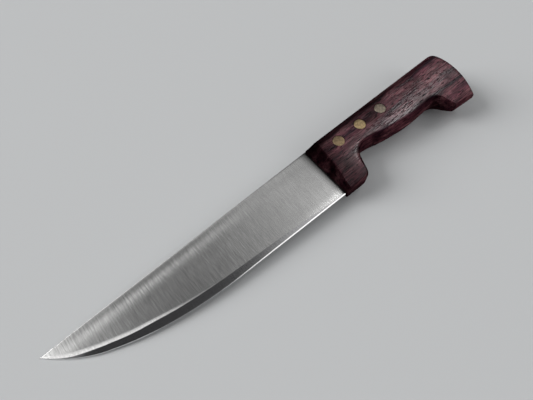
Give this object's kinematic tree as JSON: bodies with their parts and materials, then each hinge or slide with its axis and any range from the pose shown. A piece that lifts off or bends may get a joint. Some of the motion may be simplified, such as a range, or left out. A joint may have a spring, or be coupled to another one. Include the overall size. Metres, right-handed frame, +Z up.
{
  "type": "butcher knife",
  "caption": "Butcher knife with a long upswept taper-ground steel blade and a riveted dark hardwood handle with a finger lug and a hooked butt, for cutting up meat.",
  "frame": {"origin": "centre of the underside of the box that the knife fills when it lies flat on its right side, with the handle's right face on z = 0", "axes": "+X from the tip to the butt, +Y from the cutting edge to the spine, +Z up out of the knife's left side"},
  "size_m": [0.334, 0.047, 0.019],
  "materials": {
    "blade_steel": "satin, brushed across the blade, with a ground bevel and a honed edge",
    "handle_wood": "dark reddish-brown rosewood, oiled, with a low sheen",
    "rivet_brass": "ground flush and dulled"
  },
  "bodies": {
    "root": {"blade": "blade_steel", "left_scale": "handle_wood", "right_scale": "handle_wood", "front_rivet_post": "rivet_brass", "front_rivet_sleeve": "rivet_brass", "middle_rivet_post": "rivet_brass", "middle_rivet_sleeve": "rivet_brass", "rear_rivet_post": "rivet_brass", "rear_rivet_sleeve": "rivet_brass"}
  },
  "joints": []
}
